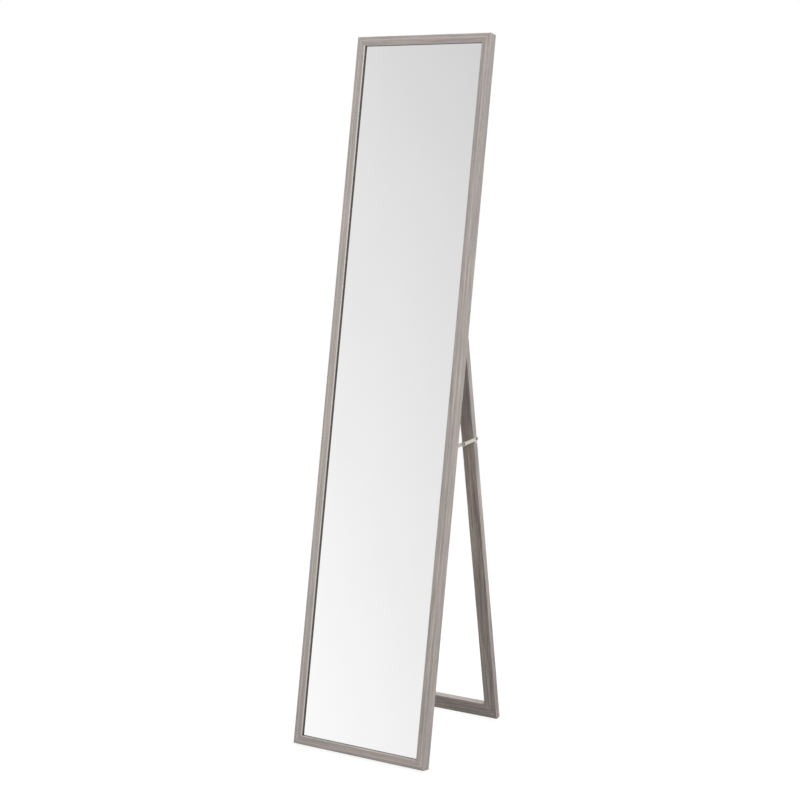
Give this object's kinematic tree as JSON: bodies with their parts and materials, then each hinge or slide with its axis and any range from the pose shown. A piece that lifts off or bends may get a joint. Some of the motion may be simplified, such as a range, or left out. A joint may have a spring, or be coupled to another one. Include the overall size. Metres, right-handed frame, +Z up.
{
  "type": "floor mirror",
  "caption": "Tall narrow wood-framed mirror that leans on its own folding rear stand, held open by a hinged metal stay each side.",
  "frame": {"origin": "centre of the footprint, on the floor", "axes": "+Z up, -Y the way the mirror faces, +X to the right of someone behind the mirror's face looking along +Y"},
  "size_m": [0.32, 0.3769, 1.4991],
  "materials": {
    "frame_moulding": "matte foil with a weathered grey-brown wood grain",
    "stand_wood": "matte foil with a weathered grey-brown wood grain",
    "mirror": "clear float glass, silvered behind",
    "hardboard": "smooth brown hardboard",
    "raw_wood": "planed pine, unfinished",
    "zinc_steel": "bright zinc plate",
    "satin_nickel": "satin nickel plate",
    "rivet_steel": "dull steel"
  },
  "bodies": {
    "mirror": {"back_board": "hardboard", "board_points": "zinc_steel", "frame_corner_nails": "zinc_steel", "frame_rail_bottom": "frame_moulding", "frame_rail_top": "frame_moulding", "frame_rivet_left": "rivet_steel", "frame_rivet_right": "rivet_steel", "frame_stile_left": "frame_moulding", "frame_stile_right": "frame_moulding", "hinge_frame_leaf_left": "zinc_steel", "hinge_frame_leaf_right": "zinc_steel", "hinge_frame_screws": "zinc_steel", "hinge_pin_left": "zinc_steel", "hinge_pin_right": "zinc_steel", "hinge_rail": "raw_wood", "hinge_rail_staples": "zinc_steel", "mirror_glass": "mirror", "stay_frame_bracket_left": "satin_nickel", "stay_frame_bracket_right": "satin_nickel", "stay_frame_screws": "zinc_steel"},
    "stand": {"hinge_stand_leaf_left": "zinc_steel", "hinge_stand_leaf_right": "zinc_steel", "hinge_stand_screws": "zinc_steel", "stand_bottom_bar": "stand_wood", "stand_corner_nails": "zinc_steel", "stand_leg_left": "stand_wood", "stand_leg_right": "stand_wood", "stand_rivet_left": "rivet_steel", "stand_rivet_right": "rivet_steel", "stand_top_bar": "stand_wood", "stay_stand_bracket_left": "satin_nickel", "stay_stand_bracket_right": "satin_nickel", "stay_stand_screws": "zinc_steel"},
    "rear_link_left": {"knuckle_rivet_head_left": "rivet_steel", "rear_link_left": "satin_nickel"},
    "rear_link_right": {"knuckle_rivet_head_right": "rivet_steel", "rear_link_right": "satin_nickel"},
    "front_link_left": {"front_link_left": "satin_nickel", "knuckle_rivet_tail_left": "rivet_steel"},
    "front_link_right": {"front_link_right": "satin_nickel", "knuckle_rivet_tail_right": "rivet_steel"}
  },
  "joints": [
    {"name": "stand_fold", "type": "hinge", "parent": "mirror", "child": "stand", "pos_m": [0, 0.00451, 0.91445], "axis": [-1, 0, 0], "range_deg": [0, 20.8]},
    {"name": "rear_link_left_pivot", "type": "hinge", "parent": "stand", "child": "rear_link_left", "pos_m": [-0.1473, 0.06103, 0.65631], "axis": [1, 0, 0], "range_deg": [0, 97.1]},
    {"name": "front_link_left_pivot", "type": "hinge", "parent": "mirror", "child": "front_link_left", "pos_m": [-0.1458, -0.05221, 0.6536], "axis": [-1, 0, 0], "range_deg": [0, 82.5]},
    {"name": "rear_link_right_pivot", "type": "hinge", "parent": "stand", "child": "rear_link_right", "pos_m": [0.1473, 0.06103, 0.65631], "axis": [1, 0, 0], "range_deg": [0, 97.1]},
    {"name": "front_link_right_pivot", "type": "hinge", "parent": "mirror", "child": "front_link_right", "pos_m": [0.1458, -0.05221, 0.6536], "axis": [-1, 0, 0], "range_deg": [0, 82.5]}
  ],
  "couplings": [
    {"joint": "rear_link_left_pivot", "follows": "stand_fold", "ratio": 4.668},
    {"joint": "front_link_left_pivot", "follows": "stand_fold", "ratio": 3.9658},
    {"joint": "rear_link_right_pivot", "follows": "stand_fold", "ratio": 4.668},
    {"joint": "front_link_right_pivot", "follows": "stand_fold", "ratio": 3.9658}
  ]
}
